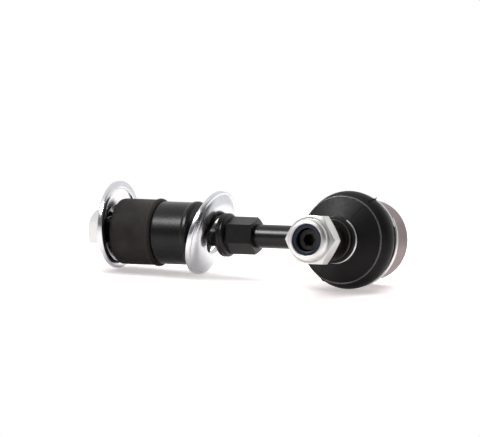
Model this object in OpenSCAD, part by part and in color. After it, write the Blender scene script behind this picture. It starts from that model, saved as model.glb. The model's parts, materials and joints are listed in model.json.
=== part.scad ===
// Stabilizer link: a straight rod with a ball joint at one end and two clamped rubber bushes at the other.
// The rod lies along X, with the bushes at the -X end. The ball stud points along -Y.
// The origin is on the stud's axis, at the shoulder that a bracket seats against.

/* [Ball joint] */
// Diameter of the ball
ball_d = 16; // [14:0.5:17]
// Distance from the ball's centre to the stud's bracket shoulder
ball_to_seat = 27.6; // [26.5:0.1:30]
// Outer diameter of the housing
housing_d = 31.6; // [30:0.2:33]
// Distance from the ball's centre to the housing's rear face
housing_back = 11; // [10.6:0.1:13]
// Distance from the ball's centre to the housing's mouth
housing_mouth = 8.4; // [8.2:0.1:9]
// Diameter of the groove that holds the boot's bead
groove_d = 28.6; // [27:0.2:29]
// Diameter of the bore that holds the plastic seat
seat_bore_d = 22.5; // [22:0.1:24]
// Thickness of the end cap
cap_t = 1.6; // [1.2:0.1:1.8]
// Diameter of the end cap
cap_d = 25; // [24:0.2:26]

/* [Ball stud] */
// Diameter of the neck below the ball
neck_d = 8.4; // [7:0.2:8.6]
// Diameter of the shank that the bracket fits over
shank_d = 12; // [12:0.1:12.2]
// Diameter of the stud inside the boot's neck
journal_d = 12.6; // [12.6:0.1:13]
// Length of the plain shank in front of the shoulder
shank_len = 11.9; // [10:0.1:12.4]
// Outer diameter of the thread past the shank
stud_thread_d = 11.6; // [11.2:0.1:11.6]
// Distance from the shoulder to the stud's end
stud_len = 17; // [16.6:0.1:17.6]
// Diameter of the bracket shoulder
shoulder_d = 16.4; // [15:0.2:17]
// Thickness of the bracket shoulder
shoulder_t = 2; // [1.5:0.1:2.5]
// Width across flats of the drive socket in the stud's end
socket_af = 5; // [4:0.5:6]

/* [Dust boot] */
// Largest diameter of the boot
boot_d = 38.8; // [37:0.2:40]
// Diameter of the crease where the boot's two folds meet
crease_d = 34.4; // [32:0.2:35]
// Distance from the ball's centre to the crease
crease_at = 17.6; // [16.5:0.1:18.5]
// Thickness of the boot's wall
boot_wall = 1.6; // [1.2:0.1:1.8]
// Diameter of the two clip wires
wire_d = 1.5; // [1.2:0.1:1.6]

/* [Stud nut] */
// Width across flats
nut_af = 19; // [18:0.5:20]
// Distance from the shoulder to the nut's rear face
nut_at = 12.9; // [12.6:0.1:13.4]
// Height of the hexagon
nut_hex_h = 6.2; // [5.5:0.1:7]
// Height of the round collar that holds the nylon ring
nut_collar_h = 2.8; // [2.4:0.1:3.2]
// Outer diameter of that collar
nut_collar_d = 16.8; // [16.4:0.1:17.4]
// Inner diameter of the collar's turned-in lip
nut_lip_d = 12.7; // [12.5:0.1:13]
// Outer diameter of the nylon ring
nylon_d = 14.6; // [14.2:0.1:15]
// Bore of the nylon ring before a thread has cut it
nylon_bore_d = 9.8; // [9.6:0.1:11]
// Thickness of the nylon ring
nylon_t = 1.9; // [1.5:0.1:2]

/* [Rod] */
// Diameter of the rod
rod_d = 9.4; // [9:0.1:9.5]
// Distance from the ball's centre to the hexagon
hex_at = 45.2; // [40:0.1:50]
// Length of the hexagon
hex_len = 11.9; // [10:0.1:14]
// Width across flats of the hexagon
hex_af = 13; // [12:0.5:14]
// How far the hexagon is turned about the rod
hex_turn = 6; // [0:1:30]
// Width of the collar that stops the inner washer
collar_w = 3.3; // [3:0.1:4]
// Diameter of that collar
collar_d = 17.4; // [17:0.1:18]
// Diameter of the thread that carries the bushes
rod_thread_d = 10; // [9.5:0.1:10]
// How far the rod's threaded end stands out of its nut
rod_tail = 0.25; // [0.2:0.05:2]

/* [Bushes] */
// Distance from the ball's centre to the face where the bushes meet
bush_meet = 87.4; // [87:0.1:88]
// Diameter of the inner bush
inner_bush_d = 24.9; // [24:0.1:25.4]
// Length of the inner bush
inner_bush_len = 16.5; // [15:0.1:16.6]
// Diameter of the outer bush
outer_bush_d = 26.1; // [25.4:0.1:26.4]
// Length of the outer bush
outer_bush_len = 18.9; // [17:0.1:19]
// How far the moulded lips stand proud of the bushes
bush_lip = 0.45; // [0.2:0.05:0.5]

/* [Cup washers] */
// Outer diameter
washer_d = 34.6; // [34:0.2:35]
// Diameter of the hole
washer_hole_d = 15.4; // [15.2:0.1:15.8]
// Diameter of the flat middle
washer_flat_d = 18.6; // [18:0.2:19]
// Depth of the dish
washer_dish = 2.4; // [2.2:0.1:3.3]
// Thickness of the sheet
washer_t = 2; // [1.8:0.1:2.1]
// Distance from the ball's centre to the inner washer's middle
inner_washer_at = 64.2; // [64:0.1:65]
// How far the loose inner washer leans, its top towards the ball joint
inner_washer_lean = 17; // [12:0.5:17.5]
// Room between the outer bush and the outer washer
outer_washer_gap = 2.1; // [1.3:0.1:2.2]
// How far the loose outer washer sits above the rod's axis
outer_washer_rise = 2.6; // [0:0.1:2.6]

/* [Rod nut] */
// Width across flats
rod_nut_af = 14; // [13:0.5:14]
// Height of the nut
rod_nut_h = 6.5; // [6:0.1:7]
// How far the nut is turned about the rod
rod_nut_twist = -8; // [-30:1:30]
// Diameter of its flange
flange_d = 21; // [20:0.2:21]
// Thickness of its flange at the edge
flange_t = 1.2; // [1:0.1:1.6]

/* [Clearances] */
// Radial room between a thread and its nut, and between the thread and the bushes
thread_clear = 0.05; // [0.03:0.01:0.08]
// Radial room between the ball and its seat
ball_clear = 0.06; // [0.03:0.01:0.09]
// Room between parts that are pressed or stacked together
seat_clear = 0.05; // [0.02:0.01:0.1]
// Room between the boot and the stud
boot_clear = 0.1; // [0.05:0.05:0.2]

/* [Hidden] */
$fn = 96;
steel_black = "#1d1d1f";
steel_grey = "#8d7f79";
zinc = "#c9ced2";
rubber = "#232122";
nylon_blue = "#1d2f5c";
acetal = "#e6e2d6";
edge = 0.6;
housing_r = housing_d / 2;
ball_r = ball_d / 2;
// The seat is cut off where the ball still wraps past its equator, far enough back for the neck to swing
seat_front = 4.2;
seat_lip = 5.2;
mouth_r = ball_r + 1.2;
cap_front = housing_back - cap_t - 0.4;
groove_back = 4.8;
groove_front = housing_mouth - 0.9;
groove_r = groove_d / 2;
bead_r = groove_r + 3;
wire_r = wire_d / 2;
housing_clip_at = (groove_back + groove_front) / 2;
shoulder_back = ball_to_seat - shoulder_t;
boot_bore_r = journal_d / 2 + boot_clear;
boot_neck_r = boot_bore_r + 1.9;
boot_lip_r = boot_neck_r + 1;
neck_clip_at = shoulder_back - 2.6;
crown_at = crease_at - 7.6;
// The stud widens from its neck to its journal over this stretch
neck_end = 13;
journal_at = 18.5;
hex_end = hex_at + hex_len;
collar_end = hex_end + collar_w;
outer_washer_at = bush_meet + outer_bush_len + outer_washer_gap + washer_t / 2;
rod_nut_at = outer_washer_at + washer_t / 2 + seat_clear;
rod_end = rod_nut_at + rod_nut_h + rod_tail;
collar_groove = 0.5;
socket_depth = 4;
// How fast the washers' dish curls up towards the rim
dish_curve = 1.3;
nut_chamfer = 1.2;

// Turns a profile of [radius, distance from the ball's centre towards the stud's end] about the stud's axis
module about_stud() {
    translate([0, ball_to_seat, 0])
        rotate([90, 0, 0])
            rotate_extrude()
                children();
}

// Turns a profile of [radius, distance from the ball's centre towards the bushes] about the rod's axis
module about_rod() {
    translate([0, ball_to_seat, 0])
        rotate([0, -90, 0])
            rotate_extrude()
                children();
}

// A hexagonal bar along Z with its corners bevelled at the chosen ends
module hex_bar(af, h, bevel, bevel_low, bevel_high) {
    corner = af / sqrt(3);
    low = bevel_low ? corner - bevel : corner;
    high = bevel_high ? corner - bevel : corner;
    slope = 0.6 * bevel;
    intersection() {
        cylinder(d = corner * 2, h = h, $fn = 6);
        rotate_extrude()
            polygon([[0, 0], [low, 0], [corner, bevel_low ? slope : 0],
                [corner, bevel_high ? h - slope : h], [high, h], [0, h]]);
    }
}

// Points of a circular arc from angle a0 to a1
function arc(centre, r, a0, a1, n) =
    [for (i = [0:n]) centre + r * [cos(a0 + (a1 - a0) * i / n), sin(a0 + (a1 - a0) * i / n)]];

module link_rod() {
    thread_r = rod_thread_d / 2;
    collar_r = collar_d / 2;
    collar_mid = hex_end + collar_w / 2;
    color(steel_black)
        union() {
            difference() {
                about_rod()
                    polygon([[0, 0], [rod_d / 2, 0], [rod_d / 2, hex_at + edge], [0, hex_at + edge]]);
                translate([0, ball_to_seat + housing_back, 0])
                    rotate([90, 0, 0])
                        cylinder(r = housing_r, h = housing_back + housing_mouth);
            }
            translate([-hex_at, ball_to_seat, 0])
                rotate([0, -90, 0])
                    rotate([0, 0, hex_turn])
                        hex_bar(hex_af, hex_len, edge, true, false);
            about_rod()
                polygon([[0, hex_end - edge], [hex_af / 2 - edge, hex_end - edge], [collar_r - edge, hex_end],
                    [collar_r, hex_end + edge], [collar_r, collar_mid - collar_groove],
                    [collar_r - collar_groove, collar_mid], [collar_r, collar_mid + collar_groove],
                    [collar_r, collar_end - edge], [collar_r - edge, collar_end], [thread_r, collar_end],
                    [thread_r, rod_end - 1], [thread_r - 1, rod_end], [0, rod_end]]);
        }
}

module joint_housing() {
    bore_r = seat_bore_d / 2;
    cap_r = cap_d / 2 + seat_clear;
    color(steel_grey)
        about_stud()
            polygon([[mouth_r + 0.8, housing_mouth], [groove_r + 0.2, housing_mouth],
                [groove_r + 0.7, housing_mouth - 0.5], [groove_r, groove_front], [groove_r, groove_back],
                [housing_r - edge, groove_back], [housing_r, groove_back - edge],
                [housing_r, edge * 2 - housing_back], [housing_r - edge * 2, -housing_back],
                [cap_r, -housing_back], [cap_r, -cap_front], [bore_r, -cap_front],
                [bore_r, seat_lip + seat_clear], [mouth_r, seat_lip + seat_clear]]);
}

module end_cap() {
    cap_r = cap_d / 2;
    back = cap_front + cap_t;
    color(steel_grey)
        about_stud()
            polygon([[0, -back], [cap_r - 5, -back], [cap_r - 4, edge - back], [cap_r - 2.6, edge - back],
                [cap_r - 2, -back], [cap_r, -back], [cap_r, -cap_front], [0, -cap_front]]);
}

module ball_seat() {
    outer_r = seat_bore_d / 2 - seat_clear;
    back = cap_front - seat_clear;
    hollow_r = ball_r + ball_clear;
    color(acetal)
        about_stud()
            polygon(concat([[0, -back], [outer_r, -back], [outer_r, seat_lip], [mouth_r, seat_lip]],
                arc([0, 0], hollow_r, asin(seat_front / hollow_r), -90, 24)));
}

module ball_stud() {
    shank_r = shank_d / 2;
    journal_r = journal_d / 2;
    thread_r = stud_thread_d / 2;
    shank_end = ball_to_seat + shank_len;
    stud_end = ball_to_seat + stud_len;
    color(steel_black)
        difference() {
            union() {
                translate([0, ball_to_seat, 0])
                    sphere(r = ball_r);
                about_stud()
                    polygon([[0, 0], [neck_d / 2, 0], [neck_d / 2, neck_end], [journal_r, journal_at],
                        [journal_r, shoulder_back], [shoulder_d / 2 - edge, shoulder_back],
                        [shoulder_d / 2, shoulder_back + edge], [shoulder_d / 2, ball_to_seat],
                        [shank_r, ball_to_seat], [shank_r, shank_end], [thread_r, shank_end + 0.1],
                        [thread_r, stud_end - 1.2], [thread_r - 1.2, stud_end], [0, stud_end]]);
            }
            translate([0, socket_depth - stud_len, 0])
                rotate([90, 0, 0])
                    cylinder(d = socket_af / cos(30), h = socket_depth + 1, $fn = 6);
        }
}

// The outer line runs from the bead over the crown to the crease and up to the neck, and the inner line follows it
module dust_boot() {
    crown_r = boot_d / 2;
    crease_r = crease_d / 2;
    inner_r = groove_r + boot_clear;
    bead_back = groove_back + seat_clear;
    bead_front = groove_front - seat_clear;
    fold_r = crown_r - 5;
    outer = concat(
        [[bead_r, bead_back + 0.5], [bead_r, bead_front + 0.4]],
        arc([fold_r, crown_at + 1], 5, -40, 40, 8),
        [[crease_r, crease_at], [boot_neck_r + 2.5, neck_clip_at - 2.2], [boot_neck_r, neck_clip_at - 1],
            [boot_neck_r, neck_clip_at + 1], [boot_lip_r, neck_clip_at + 1.2],
            [boot_lip_r - 0.4, shoulder_back - boot_clear]]);
    inner = concat(
        [[boot_bore_r, shoulder_back - boot_clear], [boot_bore_r, neck_clip_at - 1.6],
            [crease_r - 2.2, crease_at - boot_wall]],
        arc([fold_r, crown_at + 1], 5 - boot_wall, 40, -40, 8),
        [[inner_r + 1.4, groove_front + 1.3], [inner_r + 1, bead_front], [inner_r, bead_front], [inner_r, bead_back],
            [bead_r - 0.5, bead_back]]);
    color(rubber)
        about_stud()
            polygon(concat(outer, inner));
}

// A ring of round wire about the stud's axis
module wire_ring(inner_r, at) {
    color(zinc)
        about_stud()
            translate([inner_r + wire_r, at])
                circle(r = wire_r, $fn = 32);
}

module housing_clip() {
    wire_ring(bead_r + seat_clear, housing_clip_at);
}

module neck_clip() {
    wire_ring(boot_neck_r + seat_clear, neck_clip_at);
}

module stud_nut() {
    bore_r = shank_d / 2 + thread_clear;
    back = ball_to_seat + nut_at;
    shelf = back + nut_hex_h + nut_collar_h - nylon_t - 0.5;
    front = back + nut_hex_h + nut_collar_h;
    pocket_r = nylon_d / 2 + seat_clear;
    collar_r = nut_collar_d / 2;
    color(zinc)
        difference() {
            union() {
                translate([0, -nut_at, 0])
                    rotate([90, 0, 0])
                        hex_bar(nut_af, nut_hex_h, nut_chamfer, false, true);
                about_stud()
                    polygon(concat([[0, back + 1], [collar_r, back + 1]],
                        arc([collar_r - 1.6, front - 1.6], 1.6, 0, 90, 6), [[0, front]]));
            }
            about_stud()
                polygon([[0, back - 1], [bore_r + 0.8, back - 1], [bore_r + 0.8, back], [bore_r, back + 0.8],
                    [bore_r, shelf], [pocket_r, shelf], [pocket_r, front - 0.5 + seat_clear],
                    [nut_lip_d / 2, front - 0.5 + seat_clear], [nut_lip_d / 2, front + 1], [0, front + 1]]);
        }
}

module nut_insert() {
    bore_r = nylon_bore_d / 2;
    front = ball_to_seat + nut_at + nut_hex_h + nut_collar_h - 0.5;
    color(nylon_blue)
        about_stud()
            polygon([[bore_r, front - nylon_t + seat_clear], [nylon_d / 2, front - nylon_t + seat_clear],
                [nylon_d / 2, front], [bore_r, front]]);
}

module inner_bush() {
    r = inner_bush_d / 2;
    bore_r = rod_thread_d / 2 + thread_clear;
    right = bush_meet - inner_bush_len;
    color(rubber)
        about_rod()
            polygon([[bore_r, right], [r - edge, right], [r + bush_lip, right + edge], [r + bush_lip, right + 2.2],
                [r, right + 2.6], [r, bush_meet - seat_clear - edge], [r - edge, bush_meet - seat_clear],
                [bore_r, bush_meet - seat_clear]]);
}

module outer_bush() {
    r = outer_bush_d / 2;
    bore_r = rod_thread_d / 2 + thread_clear;
    left = bush_meet + outer_bush_len;
    color(rubber)
        about_rod()
            polygon([[bore_r, bush_meet], [r - edge, bush_meet], [r + bush_lip, bush_meet + edge],
                [r + bush_lip, bush_meet + 1.6], [r, bush_meet + 2.2], [r, left - 2], [r - edge, left - 1.4],
                [washer_flat_d / 2, left], [bore_r, left]]);
}

// A dished washer about Z, its flat middle centred at z = 0 and its rim towards +Z
module cup_washer() {
    flat_r = washer_flat_d / 2;
    steps = 8;
    reach = washer_d / 2 - flat_r;
    dish = [for (i = [0:steps]) [flat_r + reach * i / steps, washer_dish * pow(i / steps, dish_curve)]];
    half = washer_t / 2;
    rotate_extrude()
        polygon(concat([[washer_hole_d / 2, -half]], [for (p = dish) p - [0, half]],
            [for (i = [steps:-1:0]) dish[i] + [0, half]], [[washer_hole_d / 2, half]]));
}

module inner_washer() {
    color(zinc)
        translate([-inner_washer_at, ball_to_seat, 0])
            rotate([0, inner_washer_lean - 90, 0])
                cup_washer();
}

module outer_washer() {
    color(zinc)
        translate([-outer_washer_at, ball_to_seat, outer_washer_rise])
            rotate([0, 90, 0])
                cup_washer();
}

module rod_nut() {
    at = rod_nut_at;
    bore_r = rod_thread_d / 2 + thread_clear;
    inside_hex = rod_nut_af / 2 - 0.5;
    color(zinc)
        difference() {
            union() {
                about_rod()
                    polygon([[0, at], [flange_d / 2, at], [flange_d / 2, at + flange_t],
                        [inside_hex, at + flange_t + 1.2], [0, at + flange_t + 1.2]]);
                translate([-at, ball_to_seat, 0])
                    rotate([0, -90, 0])
                        rotate([0, 0, rod_nut_twist])
                            hex_bar(rod_nut_af, rod_nut_h, 1, false, true);
            }
            about_rod()
                polygon([[0, at - 1], [bore_r, at - 1], [bore_r, at + rod_nut_h + 1], [0, at + rod_nut_h + 1]]);
        }
}

link_rod();
joint_housing();
end_cap();
ball_seat();
ball_stud();
dust_boot();
housing_clip();
neck_clip();
stud_nut();
nut_insert();
inner_bush();
outer_bush();
inner_washer();
outer_washer();
rod_nut();
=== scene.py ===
# %% [markdown]
# # A stabilizer link, dressed for its portrait
# The link joins a car's stabilizer bar to its suspension. It has a ball joint under a rubber boot at
# one end, and two rubber bushes between cup washers at the other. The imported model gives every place
# and size. This lesson puts a finely made piece over each plain solid, and then gives each piece the
# finish of the real one.

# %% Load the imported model
import json
import math
import bmesh
import bpy
from mathutils import Matrix, Vector


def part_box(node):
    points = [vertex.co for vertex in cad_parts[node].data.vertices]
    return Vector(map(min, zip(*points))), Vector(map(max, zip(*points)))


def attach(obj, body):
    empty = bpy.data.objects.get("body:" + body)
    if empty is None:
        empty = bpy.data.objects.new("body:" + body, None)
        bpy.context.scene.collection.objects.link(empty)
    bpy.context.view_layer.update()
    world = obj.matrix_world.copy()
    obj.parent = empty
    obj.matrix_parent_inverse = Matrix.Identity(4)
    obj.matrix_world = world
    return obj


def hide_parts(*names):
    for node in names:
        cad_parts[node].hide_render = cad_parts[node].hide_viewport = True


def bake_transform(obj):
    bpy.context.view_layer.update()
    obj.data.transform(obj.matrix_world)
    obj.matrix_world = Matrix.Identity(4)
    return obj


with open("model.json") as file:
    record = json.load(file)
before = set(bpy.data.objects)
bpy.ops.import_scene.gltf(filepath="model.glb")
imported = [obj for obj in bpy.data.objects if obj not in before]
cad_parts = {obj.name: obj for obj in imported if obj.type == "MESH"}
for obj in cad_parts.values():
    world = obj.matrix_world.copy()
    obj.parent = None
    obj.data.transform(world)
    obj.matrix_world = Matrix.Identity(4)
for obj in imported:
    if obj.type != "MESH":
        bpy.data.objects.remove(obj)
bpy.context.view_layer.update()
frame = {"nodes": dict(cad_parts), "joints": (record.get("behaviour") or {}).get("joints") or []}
print("solids in the frame:", len(frame["nodes"]))

# %% [markdown]
# Two axes carry the whole part: the stud's and the rod's. Both pass through the ball's centre. Reading
# them from the joints, and not typing them in, keeps each new piece where the solids are.

# %% The axes
MM = 0.001
joints = {joint["name"]: joint for joint in frame["joints"]}
BALL = Vector(joints["stud_swing_lengthwise"]["pos_m"])
STUD = Vector(joints["stud_spin"]["axis"])
ROD = Vector(joints["clamp_travel"]["axis"])
ACROSS = Vector((1, 0, 0))
UP = Vector((0, 0, 1))
print("ball centre:", [round(value / MM, 2) for value in BALL], "mm")

# %% [markdown]
# The photograph was taken from far away with a long lens, so parallel edges stay nearly parallel. The
# camera looks 26 degrees round from the stud's axis, almost level, and leans a little. Its aim point is
# set from where the ball's centre falls in the picture.

# %% Camera
AZIMUTH = math.radians(26)
ELEVATION = math.radians(0.7)
LEAN = math.radians(1.8)
DISTANCE = 7.0
LENS_SHARE = 0.18975
AIM_LEFT = 47.75
AIM_ABOVE = 8.5
back = Vector((math.sin(AZIMUTH) * math.cos(ELEVATION), -math.cos(AZIMUTH) * math.cos(ELEVATION),
               math.sin(ELEVATION)))
level = UP.cross(back).normalized()
leaned = Matrix.Rotation(LEAN, 3, back)
camera_right = leaned @ level
camera_up = leaned @ back.cross(level)
aim = BALL - camera_right * AIM_LEFT * MM + camera_up * AIM_ABOVE * MM
camera_data = bpy.data.cameras.new("photo_camera")
camera_data.sensor_width = 36
camera_data.lens = LENS_SHARE * DISTANCE / MM
camera_data.clip_end = 20
camera = bpy.data.objects.new("photo_camera", camera_data)
place = Matrix((camera_right, camera_up, back)).transposed().to_4x4()
place.translation = aim + back * DISTANCE
camera.matrix_world = place
bpy.context.scene.collection.objects.link(camera)
bpy.context.scene.camera = camera
print("lens:", round(camera_data.lens, 1), "mm")

# %% [markdown]
# Most of these pieces were turned, moulded or pressed round, so most of them start as half a cross
# section. A cylinder primitive would have hard, perfect edges. Here the corners of the section are
# rounded first, with a vertex bevel, and the section is then spun about its axis, as on a lathe.

# %% The lathe
WELD = 1e-7
CORNER_STEPS = 4


def turned(section, axis, centre=BALL, steps=96, closed=True):
    """Spins a section of (radius, distance along the axis, rounding), in mm, about an axis."""
    bm = bmesh.new()
    side = axis.orthogonal().normalized()
    points = [bm.verts.new(centre + (axis * along + side * radius) * MM) for radius, along, _ in section]
    ahead = points[1:] + points[:1] if closed else points[1:]
    for first, second in zip(points, ahead):
        bm.edges.new((first, second))
    for size in sorted({rounding for _, _, rounding in section if rounding}):
        corners = [point for point, row in zip(points, section) if row[2] == size]
        bmesh.ops.bevel(bm, geom=corners, offset=size * MM, segments=CORNER_STEPS, affect="VERTICES",
                        profile=0.5, material=-1)
    bmesh.ops.spin(bm, geom=bm.verts[:] + bm.edges[:], cent=centre, axis=axis, angle=math.tau,
                   steps=steps, use_merge=True)
    bmesh.ops.remove_doubles(bm, verts=bm.verts[:], dist=WELD)
    bmesh.ops.recalc_face_normals(bm, faces=bm.faces[:])
    return bm


def arc(radius, along, size, first, last, count=12):
    """Section points on a round stretch, from one angle to another."""
    angles = [math.radians(first + (last - first) * i / count) for i in range(count + 1)]
    return [(radius + size * math.cos(a), along + size * math.sin(a), 0) for a in angles]


# %% [markdown]
# A hexagon is milled on a turned blank. Cutting six flats off a blank with bevelled ends gives the
# curved corner bevels of a real nut by itself.

# %% Flats and joining
def only(kind, items):
    """The vertices, or the edges, of a mixed result."""
    return [item for item in items if isinstance(item, kind)]


def mill_flats(bm, across, axis, first):
    """Cuts six flats round an axis, the first of them facing a given way."""
    for i in range(6):
        away = Matrix.Rotation(i * math.tau / 6, 3, axis) @ first
        cut = bmesh.ops.bisect_plane(bm, geom=bm.verts[:] + bm.edges[:] + bm.faces[:], dist=WELD,
                                     plane_co=BALL + away * across / 2 * MM, plane_no=away,
                                     clear_outer=True)
        bmesh.ops.contextual_create(bm, geom=only(bmesh.types.BMEdge, cut["geom_cut"]))
    bmesh.ops.recalc_face_normals(bm, faces=bm.faces[:])


def join(bm, extra):
    """Adds one shape to another."""
    mesh = bpy.data.meshes.new("extra")
    extra.to_mesh(mesh)
    extra.free()
    bm.from_mesh(mesh)
    bpy.data.meshes.remove(mesh)


# %% [markdown]
# Every shape becomes a piece in the same way. Edges sharper than the crease angle stay sharp, and where
# a rounding is given, a small bevel softens them. The piece then rides on its body, gets its slot, and
# takes the place of the solids that it stands for.

# %% Finishing a piece
def piece(name, bm, material, body=None, stands_for=(), crease=30, rounding=0.0):
    """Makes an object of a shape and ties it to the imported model."""
    mesh = bpy.data.meshes.new(name)
    bm.to_mesh(mesh)
    bm.free()
    mesh.shade_smooth()
    mesh.set_sharp_from_angle(angle=math.radians(crease))
    mesh.materials.append(material)
    made = bpy.data.objects.new(name, mesh)
    bpy.context.scene.collection.objects.link(made)
    if rounding:
        edge = made.modifiers.new("soft_edges", "BEVEL")
        edge.width = rounding * MM
        edge.segments = 2
        edge.limit_method = "ANGLE"
        edge.angle_limit = math.radians(crease)
        edge.harden_normals = True
    if body:
        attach(made, body)
    if stands_for:
        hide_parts(*stands_for)
    print(name, len(mesh.polygons), "faces")
    return made


# %% [markdown]
# Metal, paint and rubber all carry the same kinds of unevenness at different strengths: a fine grain
# that roughens the shine, broad clouds that shift the colour, and hairline scuffs from handling. One
# node group makes all three, from Object coordinates, and each finish asks it for its own grain. A scuff
# is where a slow noise crosses its middle value, which draws thin, wandering lines.

# %% Node group for grain, clouds and scuffs
SPREAD_FROM = (0.3, 0.7)
SCUFF_AT = 0.5
SCUFF_WIDTH = 0.008
SCUFF_WANDER = 0.6


def uneven_surface():
    """A node group with three noises, of which the third is narrowed to lines."""
    group = bpy.data.node_groups.new("uneven_surface", "ShaderNodeTree")
    for name, start in (("Grain Scale", 2000.0), ("Cloud Scale", 120.0), ("Scuff Scale", 90.0)):
        socket = group.interface.new_socket(name, in_out="INPUT", socket_type="NodeSocketFloat")
        socket.default_value = start
    for name in ("Grain", "Clouds", "Scuffs"):
        group.interface.new_socket(name, in_out="OUTPUT", socket_type="NodeSocketFloat")
    entry = group.nodes.new("NodeGroupInput")
    leave = group.nodes.new("NodeGroupOutput")
    where = group.nodes.new("ShaderNodeTexCoord")
    rows = (("Grain Scale", 3.0, "Grain"), ("Cloud Scale", 5.0, "Clouds"), ("Scuff Scale", 1.0, "Scuffs"))
    for source, detail, target in rows:
        noise = group.nodes.new("ShaderNodeTexNoise")
        noise.inputs["Detail"].default_value = detail
        spread = group.nodes.new("ShaderNodeMapRange")
        spread.inputs["From Min"].default_value = SPREAD_FROM[0]
        spread.inputs["From Max"].default_value = SPREAD_FROM[1]
        group.links.new(where.outputs["Object"], noise.inputs["Vector"])
        group.links.new(entry.outputs[source], noise.inputs["Scale"])
        group.links.new(noise.outputs["Fac"], spread.inputs["Value"])
        if target == "Scuffs":
            noise.inputs["Distortion"].default_value = SCUFF_WANDER
            line = group.nodes.new("ShaderNodeMath")
            line.operation = "COMPARE"
            line.inputs[1].default_value = SCUFF_AT
            line.inputs[2].default_value = SCUFF_WIDTH
            group.links.new(spread.outputs["Result"], line.inputs[0])
            group.links.new(line.outputs["Value"], leave.inputs[target])
        else:
            group.links.new(spread.outputs["Result"], leave.inputs[target])
    return group


UNEVEN = uneven_surface()
print("node group:", UNEVEN.name)

# %% [markdown]
# Every finish is a Principled shader. The clouds move the colour between two near tones, the grain moves
# the roughness within a range, scuffs dull it along their lines, and a bump lets the grain catch the
# light. Numbers that don't vary sit on the shader.

# %% A finish
def finish(name, light, dark, rough, scuff=0.0, metallic=0.0, specular=0.5, grain=2000.0, bump=0.1,
           depth=0.02):
    """A material between two tones and two roughnesses, with a relief of a depth in mm."""
    material = bpy.data.materials.new(name)
    material.use_nodes = True
    nodes = material.node_tree.nodes
    links = material.node_tree.links
    shader = nodes["Principled BSDF"]
    shader.inputs["Metallic"].default_value = metallic
    shader.inputs["Specular IOR Level"].default_value = specular
    uneven = nodes.new("ShaderNodeGroup")
    uneven.node_tree = UNEVEN
    uneven.inputs["Grain Scale"].default_value = grain
    tone = nodes.new("ShaderNodeMix")
    tone.data_type = "RGBA"
    tone.inputs["A"].default_value = (*dark, 1)
    tone.inputs["B"].default_value = (*light, 1)
    shine = nodes.new("ShaderNodeMapRange")
    shine.inputs["To Min"].default_value = rough[0]
    shine.inputs["To Max"].default_value = rough[1]
    dulled = nodes.new("ShaderNodeMath")
    dulled.operation = "MULTIPLY_ADD"
    dulled.inputs[1].default_value = scuff
    relief = nodes.new("ShaderNodeBump")
    relief.inputs["Strength"].default_value = bump
    relief.inputs["Distance"].default_value = depth * MM
    links.new(uneven.outputs["Clouds"], tone.inputs["Factor"])
    links.new(tone.outputs["Result"], shader.inputs["Base Color"])
    links.new(uneven.outputs["Grain"], shine.inputs["Value"])
    links.new(uneven.outputs["Scuffs"], dulled.inputs[0])
    links.new(shine.outputs["Result"], dulled.inputs[2])
    links.new(dulled.outputs["Value"], shader.inputs["Roughness"])
    links.new(uneven.outputs["Grain"], relief.inputs["Height"])
    links.new(relief.outputs["Normal"], shader.inputs["Normal"])
    return material


# %% [markdown]
# The metals come first. The washers are brighter and smoother than the nuts, the housing has a brownish
# phosphate coat, and the stud shows bare steel at its end. A paler ring on its shoulder is a painted
# reflection of the white room.

# %% Metals and paint
ZINC = finish("bright_zinc", (0.70, 0.71, 0.73), (0.58, 0.595, 0.62), (0.17, 0.22), scuff=0.05,
              metallic=1.0, grain=1500.0, bump=0.015)
NUT_ZINC = finish("satin_zinc", (0.74, 0.735, 0.72), (0.62, 0.615, 0.60), (0.30, 0.36), scuff=0.06,
                  metallic=1.0, grain=1500.0, bump=0.02)
BLACK_PAINT = finish("black_paint", (0.008, 0.0062, 0.0062), (0.0045, 0.0036, 0.0036), (0.28, 0.32),
                     scuff=0.05, specular=0.3, grain=700.0, bump=0.01)
PHOSPHATE = finish("phosphated_steel", (0.25, 0.205, 0.20), (0.17, 0.138, 0.134), (0.36, 0.50),
                   scuff=0.1, metallic=0.85, bump=0.12)
# A paler steel that paints a reflection on the stud's shoulder.
PAINTED_REFLECTION = finish("painted_shoulder_reflection", (0.10, 0.088, 0.084), (0.05, 0.044, 0.042), (0.34, 0.46),
                   scuff=0.1, metallic=0.6, bump=0.05)
DARK_STEEL = finish("dark_steel", (0.050, 0.046, 0.041), (0.028, 0.026, 0.023), (0.30, 0.42),
                    scuff=0.1, metallic=0.6, bump=0.05)
WIRE = finish("spring_wire", (0.80, 0.80, 0.79), (0.68, 0.68, 0.68), (0.36, 0.44), metallic=1.0,
              bump=0.02)
print("metals and paint:", len(bpy.data.materials))

# %% [markdown]
# The rubbers differ more in shine than in colour: the boot is satin with a shiny ridge, whose paler
# colour is partly wear and partly a painted highlight; the outer bush is matt and brownish, and the inner
# bush catches a clear highlight. The housing, its cap and the seat keep their solids and only change
# material.

# %% Rubber and plastic
BOOT_RUBBER = finish("boot_rubber", (0.0065, 0.005, 0.005), (0.0035, 0.0028, 0.0028), (0.44, 0.56),
                     scuff=0.12, specular=0.2, grain=1200.0, bump=0.06)
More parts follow.
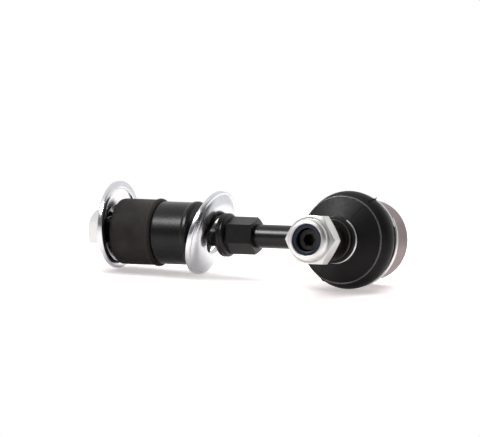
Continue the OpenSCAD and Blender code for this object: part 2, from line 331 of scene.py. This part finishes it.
# Paler rubber for the fold's ridge: partly wear, partly a painted highlight.
RIDGE_WEAR_AND_HIGHLIGHT = finish("ridge_wear_and_painted_highlight", (0.12, 0.12, 0.12), (0.07, 0.07, 0.07), (0.18, 0.30), bump=0.05)
OUTER_RUBBER = finish("matt_rubber", (0.044, 0.038, 0.038), (0.023, 0.0195, 0.0195), (0.55, 0.75),
                      specular=0.1, grain=1500.0, bump=0.3, depth=0.03)
INNER_RUBBER = finish("satin_rubber", (0.009, 0.009, 0.010), (0.005, 0.005, 0.005), (0.25, 0.36),
                      scuff=0.2, specular=0.22, grain=1500.0, bump=0.08)
NYLON = finish("blue_nylon", (0.011, 0.017, 0.040), (0.008, 0.012, 0.028), (0.30, 0.42), specular=0.4,
               grain=1200.0, bump=0.1)
ACETAL = finish("natural_acetal", (0.80, 0.78, 0.70), (0.72, 0.70, 0.62), (0.35, 0.5), bump=0.1)
for node, material in (("joint_housing", PHOSPHATE), ("end_cap", PHOSPHATE), ("ball_seat", ACETAL)):
    frame["nodes"][node].material_slots[0].material = material
print("finishes:", len(bpy.data.materials))

# %% [markdown]
# The boot is a rubber bellows with a fold. The bead sits in the housing's groove, the crown swells out,
# and a thin ridge marks the fold. The boot is made as two skins, a lower and an upper one, that meet
# under that ridge.

# %% Dust boot
BEAD_R = 14.4
BEAD_AT = 4.9
GROOVE_AT = 7.45
CROWN_R = 14.4
CROWN_AT = 11
CROWN_SPAN = 40
CREASE_R = 17.2
CREASE_AT = 17.6
NECK_R = 8.3
NECK_AT = 23.0
NECK_BORE = 6.4
NECK_END = 25.5
RIDGE_SINK = 0.05
RIDGE_WIDTH = 0.34
crown = arc(CROWN_R, CROWN_AT, 5, -CROWN_SPAN, CROWN_SPAN)
crown_inside = arc(CROWN_R, CROWN_AT, 3.4, CROWN_SPAN, -CROWN_SPAN)
crease = (CREASE_R, CREASE_AT, 0)
crease_inside = (CREASE_R - 2.2, CREASE_AT - 1.6, 0)
lower = [(BEAD_R, BEAD_AT, 0), (17.3, BEAD_AT, 0.5), (17.3, 7.85, 0.4)] + crown
lower += [(16.6, 16.0, 0.6), (16.8, 17.2, 0.2), crease, crease_inside] + crown_inside
lower += [(15.9, 8.8, 0.3), (15.5, GROOVE_AT, 0.2), (BEAD_R, GROOVE_AT, 0)]
boot_lower = piece("boot_lower", turned(lower, STUD), BOOT_RUBBER, stands_for=["dust_boot"])
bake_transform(boot_lower)
cone = [crease, (10.8, NECK_AT - 2.2, 1.2), (NECK_R, NECK_AT - 1, 0.5)]
upper = cone + [(NECK_R, NECK_AT + 1, 0.2), (9.3, NECK_AT + 1.2, 0.3), (8.9, NECK_END, 0.3),
                (NECK_BORE, NECK_END, 0), (NECK_BORE, NECK_AT - 1.6, 0.5), crease_inside]
boot_upper = piece("boot_upper", turned(upper, STUD), BOOT_RUBBER)
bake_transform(boot_upper)
# The ridge's paler colour is partly wear and partly a painted highlight.
ridge = turned(arc(CREASE_R - RIDGE_SINK, CREASE_AT, RIDGE_WIDTH, 0, 330, 11), STUD)
piece("boot_ridge", ridge, RIDGE_WEAR_AND_HIGHLIGHT, "boot")

# %% [markdown]
# The boot's mould opened along a plane through the stud's axis. It left a hair of flash on both sides,
# and a little tab of rubber where the mould was filled. Each line of flash is a thin fin that follows
# the section.

# %% Mould seams
SEAM_ANGLE = 58
FIN_OUT = 0.3
FIN_IN = 0.5
FIN_WIDTH = 0.5
TAB_R = 19.4
TAB_AT = 9.2
TAB_LENGTH = 1.8


def outward(angle):
    """The way out from the stud's axis, at an angle round it."""
    return Matrix.Rotation(math.radians(angle), 3, STUD) @ ACROSS


def fin(section, angle):
    """A thin fin that follows a section of the boot."""
    bm = bmesh.new()
    out = outward(angle)
    around = STUD.cross(out)
    rows = [(r + FIN_OUT, h) for r, h, _ in section]
    rows += [(r - FIN_IN, h) for r, h, _ in reversed(section)]
    points = [bm.verts.new(BALL + (out * r + STUD * h - around * FIN_WIDTH / 2) * MM) for r, h in rows]
    grown = bmesh.ops.extrude_face_region(bm, geom=[bm.faces.new(points)])["geom"]
    bmesh.ops.translate(bm, vec=around * FIN_WIDTH * MM, verts=only(bmesh.types.BMVert, grown))
    bmesh.ops.recalc_face_normals(bm, faces=bm.faces[:])
    return bm


def both_fins(section):
    """The fins on both sides of the mould's plane."""
    bm = fin(section, SEAM_ANGLE)
    join(bm, fin(section, SEAM_ANGLE + 180))
    return bm


flash = both_fins(crown)
out = outward(SEAM_ANGLE)
spot = out.to_track_quat("Z", "Y").to_matrix().to_4x4()
spot.translation = BALL + (out * TAB_R + STUD * TAB_AT) * MM
bmesh.ops.create_cone(flash, cap_ends=True, segments=8, radius1=0.45 * MM, radius2=0.12 * MM,
                      depth=TAB_LENGTH * MM, matrix=spot)
flash_lower = piece("boot_flash_lower", flash, BOOT_RUBBER)
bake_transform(flash_lower)
flash_upper = piece("boot_flash_upper", both_fins(cone), BOOT_RUBBER)
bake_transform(flash_upper)

# %% [markdown]
# Each end of the boot is held by a ring of spring wire. A torus would hide where the wire ends, and the
# photograph shows it, so a small circle is spun while it climbs. The large ring goes a little more than
# once round, and its ends pass each other. The small one stops short and stays open.

# %% Wire rings
WIRE_SIDES = 14
WIRE_STEPS = 120


def wound(bm, axis, turns, climb, steps):
    """Spins a loop round an axis while it climbs, and closes both ends."""
    bmesh.ops.spin(bm, geom=bm.verts[:] + bm.edges[:], cent=BALL, axis=axis, angle=math.tau * turns,
                   steps=steps, dvec=axis * climb * MM / steps)
    bmesh.ops.holes_fill(bm, edges=bm.edges[:], sides=0)
    bmesh.ops.recalc_face_normals(bm, faces=bm.faces[:])
    return bm


def wire_ring(radius, at, first_angle, turns, climb, wire):
    """A ring of round wire about the stud, from an angle onwards."""
    bm = bmesh.new()
    out = outward(first_angle)
    spot = Matrix((out, STUD, out.cross(STUD))).transposed().to_4x4()
    spot.translation = BALL + (out * radius + STUD * (at - climb / 2)) * MM
    bmesh.ops.create_circle(bm, segments=WIRE_SIDES, radius=wire * MM, matrix=spot)
    return wound(bm, STUD, turns, climb, round(WIRE_STEPS * turns))


large = wire_ring(radius=18.1, at=5.9, first_angle=19, turns=1.03, climb=-1.5, wire=0.75)
piece("boot_wire_large", large, WIRE, "link", ["housing_clip"])
small = wire_ring(radius=8.85, at=NECK_AT, first_angle=100, turns=0.886, climb=0.3, wire=0.55)
piece("boot_wire_small", small, WIRE, "boot_neck", ["neck_clip"])

# %% [markdown]
# Threads are long helical ridges. A triangle spun round and round, moving along the axis by one pitch a
# turn, makes one. Its base is sunk in the core, so no gap opens between them.

# %% Thread
PITCH = 1.25
ROOT_SINK = 0.1
ROOT_HALF = 0.45
THREAD_STEPS = 40


def thread(axis, core, crest, start, end):
    """A helical ridge on a core, between two distances along its axis."""
    bm = bmesh.new()
    side = axis.orthogonal().normalized()
    corners = [(core - ROOT_SINK, -ROOT_HALF), (crest, 0), (core - ROOT_SINK, ROOT_HALF)]
    points = [bm.verts.new(BALL + (side * r + axis * (start + a * PITCH)) * MM) for r, a in corners]
    for first, second in zip(points, points[1:] + points[:1]):
        bm.edges.new((first, second))
    turns = (end - start) / PITCH
    return wound(bm, axis, turns, end - start, round(turns * THREAD_STEPS))


# %% [markdown]
# The stud is one forging: a ball, a neck, a journal for the boot, a shoulder for the bracket, a plain
# shank, a thread and a short pilot. A six-pointed socket in its end keeps it still while the nut is
# tightened. The end is bridged from the round rim to the star, and the star is then pushed in.

# %% Ball stud
STUD_END = (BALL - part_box("ball_stud")[0]).y / MM
CORE_R = 5.35
PILOT_R = 4.4
PILOT_END = STUD_END + 2.4
SOCKET_R = 3.2
SOCKET_WAIST = 0.68
SOCKET_DEPTH = 4
outline = arc(0, 0, 8, -90, 58, 24)
outline += [(4.2, 8.2, 0.8), (4.2, 13, 1.0), (6.3, 18.5, 1.0), (6.3, 25.6, 0)]
outline += [(7.7, 25.6, 0.2), (8.2, 26.1, 0.2), (8.2, 27.6, 0.2), (6.0, 27.6, 0), (6.0, 39.5, 0.3)]
outline += [(CORE_R, 40.0, 0), (CORE_R, STUD_END - 0.7, 0.3), (4.65, STUD_END, 0)]
outline += [(PILOT_R, STUD_END, 0.1), (PILOT_R, PILOT_END - 0.3, 0.1), (PILOT_R - 0.3, PILOT_END, 0)]


def across_stud(along):
    """A place on the stud's axis that faces along it."""
    spot = Matrix((ACROSS, UP, STUD)).transposed().to_4x4()
    spot.translation = BALL + STUD * along * MM
    return spot


def star_mouth(bm, along):
    """The six-pointed mouth of the socket: a loop of twelve edges."""
    spot = across_stud(along)
    loop = bmesh.ops.create_circle(bm, segments=12, radius=SOCKET_R * MM, matrix=spot)["verts"]
    bmesh.ops.scale(bm, vec=(SOCKET_WAIST,) * 3, space=Matrix.Translation(-spot.translation),
                    verts=loop[::2])
    return [edge for edge in bm.edges if all(end in loop for end in edge.verts)]


stud = turned(outline, STUD, closed=False)
rim = [edge for edge in stud.edges if edge.is_boundary]
mouth = star_mouth(stud, PILOT_END - 0.1)
bmesh.ops.bridge_loops(stud, edges=rim + mouth)
pushed = bmesh.ops.extrude_edge_only(stud, edges=mouth)["geom"]
bmesh.ops.translate(stud, vec=STUD * -SOCKET_DEPTH * MM, verts=only(bmesh.types.BMVert, pushed))
bmesh.ops.contextual_create(stud, geom=only(bmesh.types.BMEdge, pushed))
bmesh.ops.recalc_face_normals(stud, faces=stud.faces[:])
join(stud, thread(STUD, CORE_R, 5.98, 40.4, STUD_END - 1.0))
piece("ball_stud_forged", stud, BLACK_PAINT, "stud", ["ball_stud"])

# %% [markdown]
# Two places on the stud are paler than the paint. The rim of its shoulder carries a painted reflection:
# a paler steel that stands for the white room mirrored there. Its end face is bare steel. Each is a thin
# ring over the forging, since one piece carries one finish.

# %% Bare steel and a painted reflection on the stud
FACE_AT = PILOT_END + 0.05
FACE_R = PILOT_R - 0.35
FACE_SKIN = 0.2
# Painted reflection: this ring is paler than the paint, standing for the white room mirrored in the
# shoulder.
reflection_band = turned([(7.8, 25.7, 0), (8.22, 26.1, 0.2), (8.22, 27.4, 0.2), (7.8, 27.55, 0)], STUD)
piece("shoulder_rim", reflection_band, PAINTED_REFLECTION, "stud")
end_face = bmesh.new()
bmesh.ops.create_circle(end_face, segments=96, radius=FACE_R * MM, matrix=across_stud(FACE_AT))
rim = end_face.edges[:]
bmesh.ops.bridge_loops(end_face, edges=rim + star_mouth(end_face, FACE_AT))
sunk = bmesh.ops.extrude_face_region(end_face, geom=end_face.faces[:])["geom"]
bmesh.ops.translate(end_face, vec=STUD * -FACE_SKIN * MM, verts=only(bmesh.types.BMVert, sunk))
bmesh.ops.recalc_face_normals(end_face, faces=end_face.faces[:])
piece("stud_end_face", end_face, DARK_STEEL, "stud")

# %% [markdown]
# The lock nut has a hexagon, a plain collar rolled over at the top, and a nylon ring held under that
# roll. It is turned with its bore and pocket, and then gets its flats. The collar is joined on after the
# flats, so they leave it round.

# %% Stud nut and its nylon ring
NUT_AT = 40.5
NUT_ACROSS = 19
NUT_BORE = 6.05
blank = [(NUT_BORE, NUT_AT + 0.8, 0), (6.85, NUT_AT, 0), (9.4, NUT_AT, 0.2), (11.1, NUT_AT + 0.9, 0),
         (11.1, NUT_AT + 5.4, 0), (9.3, NUT_AT + 6.3, 0.3), (NUT_BORE, NUT_AT + 6.3, 0)]
nut = turned(blank, STUD)
mill_flats(nut, NUT_ACROSS, STUD, UP)
collar = [(7.35, NUT_AT + 5.5, 0), (8.4, NUT_AT + 5.5, 0), (8.4, NUT_AT + 9, 1.7),
          (6.35, NUT_AT + 9, 0.25), (6.35, NUT_AT + 8.5, 0.1), (7.35, NUT_AT + 8.4, 0)]
join(nut, turned(collar, STUD))
piece("stud_nut_milled", nut, NUT_ZINC, "nut", ["stud_nut"], rounding=0.25)
ring = [(4.9, NUT_AT + 4.7, 0.2), (6.0, NUT_AT + 4.7, 0), (6.0, NUT_AT + 6.65, 0),
        (7.3, NUT_AT + 6.65, 0), (7.3, NUT_AT + 8.45, 0.1), (4.6, NUT_AT + 8.45, 0.4),
        (4.9, NUT_AT + 7.4, 0)]
piece("nut_nylon_ring", turned(ring, STUD), NYLON, "nut_ring", ["nut_insert"])

# %% [markdown]
# The rod is drawn bar with a forged hexagon for a spanner, a grooved collar and a long thread, all under
# the same black paint. The shapes are turned one after the other and joined into one piece.

# %% Rod
ROD_END = (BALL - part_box("link_rod")[0]).x / MM
SHANK_R = 4.7
ROOT_R = 4.65
HEXAGON_ACROSS = 13
HEXAGON_TURN = math.radians(36)
rod = turned([(0, 15.2, 0), (SHANK_R, 15.2, 0), (SHANK_R, 45.6, 0), (0, 45.6, 0)], ROD, closed=False)
hexagon = turned([(0, 45.2, 0), (6.5, 45.2, 0.4), (7.6, 45.9, 0.3), (7.6, 57.2, 0), (0, 57.2, 0)], ROD,
                 closed=False)
mill_flats(hexagon, HEXAGON_ACROSS, ROD, Matrix.Rotation(HEXAGON_TURN, 3, ROD) @ UP)
join(rod, hexagon)
neck = [(0, 56.5, 0), (5.9, 56.5, 0), (8.1, 57.1, 0.3), (8.7, 57.7, 0.3), (8.7, 58.25, 0.15),
        (8.2, 58.75, 0.3), (8.7, 59.25, 0.15), (8.7, 59.8, 0.3), (8.1, 60.4, 0.3), (ROOT_R, 60.4, 0.4),
        (ROOT_R, ROD_END - 0.8, 0), (4.0, ROD_END, 0), (0, ROD_END, 0)]
join(rod, turned(neck, ROD, closed=False))
join(rod, thread(ROD, ROOT_R, 4.99, 64.5, ROD_END - 1.2))
piece("link_rod_painted", rod, BLACK_PAINT, "link", ["link_rod"], rounding=0.2)

# %% [markdown]
# The two bushes are moulded rubber that the rod is clamped through. Each has a small raised lip at the
# end where its mould parted. The outer bush tapers where the cup washer takes it.

# %% Bushes
BUSH_BORE = 5.05
MEET = 87.4
inner = [(BUSH_BORE, 70.9, 0), (11.85, 70.9, 0.4), (12.9, 71.5, 0.4), (12.9, 73.0, 0.3),
         (12.45, 73.6, 0.4), (12.45, MEET - 0.65, 0.5), (11.85, MEET - 0.05, 0.3),
         (BUSH_BORE, MEET - 0.05, 0)]
piece("inner_bush_moulded", turned(inner, ROD), INNER_RUBBER, "link", ["inner_bush"])
outer = [(BUSH_BORE, MEET, 0), (12.45, MEET, 0.3), (13.5, MEET + 0.6, 0.4), (13.5, MEET + 1.5, 0.3),
         (13.05, MEET + 2.1, 0.4), (13.05, 104.3, 0.9), (12.45, 104.9, 0.5), (9.3, 106.3, 0.6),
         (BUSH_BORE, 106.3, 0)]
piece("outer_bush_moulded", turned(outer, ROD), OUTER_RUBBER, "clamp", ["outer_bush"])

# %% [markdown]
# The cup washers are pressed from sheet: a flat middle with a hole, a wall that steepens like part of an
# ellipse, and a narrow flange round the rim. Both washers are loose, so one leans and the other hangs off
# centre. Their places come from the joint and from the solid's box.

# %% Cup washers
WASHER_R = 17.3
HOLE_R = 7.7
FLAT_R = 8.1
DISH = 2.4
SHEET = 2.0
OUTSIDE = -SHEET / 2
INSIDE = SHEET / 2
OUTER_WIDTH = 7.9
INNER_WIDTH = 6.5
STEEPEST = math.radians(80)
WASHER_STEPS = 128


def cup_wall(width, start, count=16):
    """Section points up the cup's wall: part of an ellipse that leaves the flat and ends steep."""
    angles = [STEEPEST * i / count for i in range(count + 1)]
    return [(FLAT_R + width * math.sin(a), start + DISH * (1 - math.cos(a)), 0) for a in angles]


sheet = [(HOLE_R, OUTSIDE, 0.2)] + cup_wall(OUTER_WIDTH, OUTSIDE)
sheet += [(FLAT_R + OUTER_WIDTH, OUTSIDE + DISH, 0.3), (WASHER_R, OUTSIDE + DISH, 0.4)]
sheet += [(WASHER_R, INSIDE + DISH, 0.4), (FLAT_R + INNER_WIDTH, INSIDE + DISH, 0.3)]
sheet += cup_wall(INNER_WIDTH, INSIDE)[::-1] + [(HOLE_R, INSIDE, 0.2)]
lean = math.radians(-joints["inner_washer_rock"]["range_deg"][0])
leaning = Vector((-math.cos(lean), 0, math.sin(lean)))
inner_spot = Vector(joints["inner_washer_rock"]["pos_m"])
leaned_cup = turned(sheet, leaning, inner_spot, WASHER_STEPS)
piece("inner_washer_pressed", leaned_cup, ZINC, "loose_washer", ["inner_washer"])
low, high = (Vector(corner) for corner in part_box("outer_washer"))
outer_spot = Vector((low.x + INSIDE * MM, BALL.y, (low.z + high.z) / 2))
upright_cup = turned(sheet, -ROD, outer_spot, WASHER_STEPS)
piece("outer_washer_pressed", upright_cup, ZINC, "end_nut", ["outer_washer"])

# %% [markdown]
# The rod's nut is a small hexagon on a wide flange, zinc plated like the other nut.

# %% Rod nut
SEAT = (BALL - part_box("rod_nut")[1]).x / MM
END_NUT_ACROSS = 14
END_NUT_TURN = math.radians(22)
blank = [(5.05, SEAT + 0.6, 0), (5.6, SEAT, 0), (8.2, SEAT, 0), (8.2, SEAT + 5.8, 0.2),
         (7.0, SEAT + 6.5, 0.3), (5.6, SEAT + 6.5, 0), (5.05, SEAT + 5.9, 0)]
end_nut = turned(blank, ROD)
mill_flats(end_nut, END_NUT_ACROSS, ROD, Matrix.Rotation(END_NUT_TURN, 3, ROD) @ UP)
flange = [(5.8, SEAT, 0), (10.5, SEAT, 0.3), (10.5, SEAT + 1.2, 0.4), (7.6, SEAT + 2.4, 0.5),
          (5.8, SEAT + 2.4, 0)]
join(end_nut, turned(flange, ROD))
piece("rod_nut_milled", end_nut, NUT_ZINC, "end_nut", ["rod_nut"], rounding=0.2)

# %% [markdown]
# The link lies on a white table, tipped so that both washers and the boot touch it. The table's tilt is
# measured from the photograph, and its height from the lowest point of the pieces along that tilt.

# %% Table
TABLE_R = 6
tilt = Vector((0.032, -0.123, 1)).normalized()
dressed = [item for item in bpy.data.objects if item.type == "MESH" and not item.hide_render]
touch = min(tilt.dot(item.matrix_world @ vertex.co) for item in dressed for vertex in item.data.vertices)
middle = Vector((-0.05, 0.0276, 0))
foot = middle + tilt * (touch - tilt.dot(middle))
table_bm = bmesh.new()
spot = tilt.to_track_quat("Z", "Y").to_matrix().to_4x4()
spot.translation = foot
bmesh.ops.create_circle(table_bm, cap_ends=True, segments=96, radius=TABLE_R, matrix=spot)
table_mesh = bpy.data.meshes.new("table")
table_bm.to_mesh(table_mesh)
table_bm.free()
table = bpy.data.objects.new("table", table_mesh)
bpy.context.scene.collection.objects.link(table)
print("table touches at", round(touch / MM, 2), "mm")

# %% [markdown]
# Near the link the table is a pale diffuse surface that takes its shadow, and farther away it turns into
# plain white. A faint warm glow, which only the camera and mirrored rays see, stands for the light that a
# white studio throws into the shadows.

# %% Table finish
PALE = (0.93, 0.89, 0.885, 1)
WARM = (1, 0.952, 0.946, 1)
SEEN_LIFT = 0.45
MIRRORED_LIFT = 0.32
FADE_FROM = 0.07
FADE_TO = 0.22


def table_finish():
    """A pale surface with a lifted shadow, which fades into plain white."""
    material = bpy.data.materials.new("white_table")
    material.use_nodes = True
    nodes = material.node_tree.nodes
    links = material.node_tree.links
    shader = nodes["Principled BSDF"]
    shader.inputs["Roughness"].default_value = 0.7
    shader.inputs["Specular IOR Level"].default_value = 0.2
    shader.inputs["Base Color"].default_value = PALE
    path = nodes.new("ShaderNodeLightPath")
    mirrored = nodes.new("ShaderNodeMath")
    mirrored.operation = "MULTIPLY"
    mirrored.inputs[1].default_value = MIRRORED_LIFT
    lift = nodes.new("ShaderNodeMath")
    lift.operation = "MULTIPLY_ADD"
    lift.inputs[1].default_value = SEEN_LIFT
    extra = nodes.new("ShaderNodeEmission")
    extra.inputs["Color"].default_value = WARM
    both = nodes.new("ShaderNodeAddShader")
    links.new(path.outputs["Is Glossy Ray"], mirrored.inputs[0])
    links.new(path.outputs["Is Camera Ray"], lift.inputs[0])
    links.new(mirrored.outputs["Value"], lift.inputs[2])
    links.new(lift.outputs["Value"], extra.inputs["Strength"])
    links.new(shader.outputs["BSDF"], both.inputs[0])
    links.new(extra.outputs["Emission"], both.inputs[1])
    glow = nodes.new("ShaderNodeEmission")
    where = nodes.new("ShaderNodeTexCoord")
    apart = nodes.new("ShaderNodeVectorMath")
    apart.operation = "DISTANCE"
    apart.inputs[1].default_value = foot
    fade = nodes.new("ShaderNodeMapRange")
    fade.interpolation_type = "SMOOTHSTEP"
    fade.inputs["From Min"].default_value = FADE_FROM
    fade.inputs["From Max"].default_value = FADE_TO
    blend = nodes.new("ShaderNodeMixShader")
    links.new(where.outputs["Object"], apart.inputs[0])
    links.new(apart.outputs["Value"], fade.inputs["Value"])
    links.new(fade.outputs["Result"], blend.inputs["Fac"])
    links.new(both.outputs["Shader"], blend.inputs[1])
    links.new(glow.outputs["Emission"], blend.inputs[2])
    links.new(blend.outputs["Shader"], nodes["Material Output"].inputs["Surface"])
    return material


table.data.materials.append(table_finish())
print("table finish:", table.data.materials[0].name)

# %% [markdown]
# The world is a white sweep behind and around the link, and a dim room on the photographer's side, which
# gives the zinc its grey tones. Matt surfaces get a little less of it than shiny ones. The camera sees
# plain white everywhere.

# %% World
ROOM_FROM = -0.1
ROOM_TO = 0.5
ROOM_LIGHT = 0.16
MATT_SHARE = 0.7
scene = bpy.context.scene
scene.view_settings.view_transform = "Standard"
world = bpy.data.worlds.new("white_room")
scene.world = world
world.use_nodes = True
sky = world.node_tree.nodes
sky_links = world.node_tree.links
path = sky.new("ShaderNodeLightPath")
where = sky.new("ShaderNodeTexCoord")
toward = sky.new("ShaderNodeVectorMath")
toward.operation = "DOT_PRODUCT"
toward.inputs[1].default_value = back
room = sky.new("ShaderNodeMapRange")
room.interpolation_type = "SMOOTHSTEP"
room.inputs["From Min"].default_value = ROOM_FROM
room.inputs["From Max"].default_value = ROOM_TO
room.inputs["To Min"].default_value = 1.0
room.inputs["To Max"].default_value = ROOM_LIGHT
share = sky.new("ShaderNodeMapRange")
share.inputs["To Min"].default_value = MATT_SHARE
share.inputs["To Max"].default_value = 1.0
lit = sky.new("ShaderNodeMath")
lit.operation = "MULTIPLY"
seen = sky.new("ShaderNodeMath")
seen.operation = "MAXIMUM"
sky["Background"].inputs["Color"].default_value = (1, 1, 1, 1)
sky_links.new(where.outputs["Generated"], toward.inputs[0])
sky_links.new(toward.outputs["Value"], room.inputs["Value"])
sky_links.new(path.outputs["Is Glossy Ray"], share.inputs["Value"])
sky_links.new(room.outputs["Result"], lit.inputs[0])
sky_links.new(share.outputs["Result"], lit.inputs[1])
sky_links.new(lit.outputs["Value"], seen.inputs[0])
sky_links.new(path.outputs["Is Camera Ray"], seen.inputs[1])
sky_links.new(seen.outputs["Value"], sky["Background"].inputs["Strength"])
print("world:", world.name)

# %% [markdown]
# Two lamps share the work. A small one above the camera shows only in the shine, and gives the rubber and
# paint their highlights. A wide one overhead lights only matt surfaces: the tops, and the table with its
# soft shadow.

# %% Lamps
def lamp(name, toward, far, size, power, on_matt=True, in_shine=True):
    """A round lamp that faces the aim point from some way off."""
    data = bpy.data.lights.new(name, "AREA")
    data.shape = "DISK"
    data.size = size
    data.energy = power
    made = bpy.data.objects.new(name, data)
    made.location = aim + toward.normalized() * far
    made.rotation_euler = toward.to_track_quat("Z", "Y").to_euler()
    made.visible_diffuse = on_matt
    made.visible_glossy = in_shine
    scene.collection.objects.link(made)


from_left = camera_up * 0.85 - camera_right * 0.85 + back * 0.55
overhead = camera_up * 1.0 + camera_right * 0.1 - back * 0.25
lamp("key_lamp", from_left, far=0.8, size=0.3, power=7.0, on_matt=False)
lamp("top_lamp", overhead, far=0.8, size=1.1, power=10.0, in_shine=False)
print("lamps:", [item.name for item in bpy.data.lights])
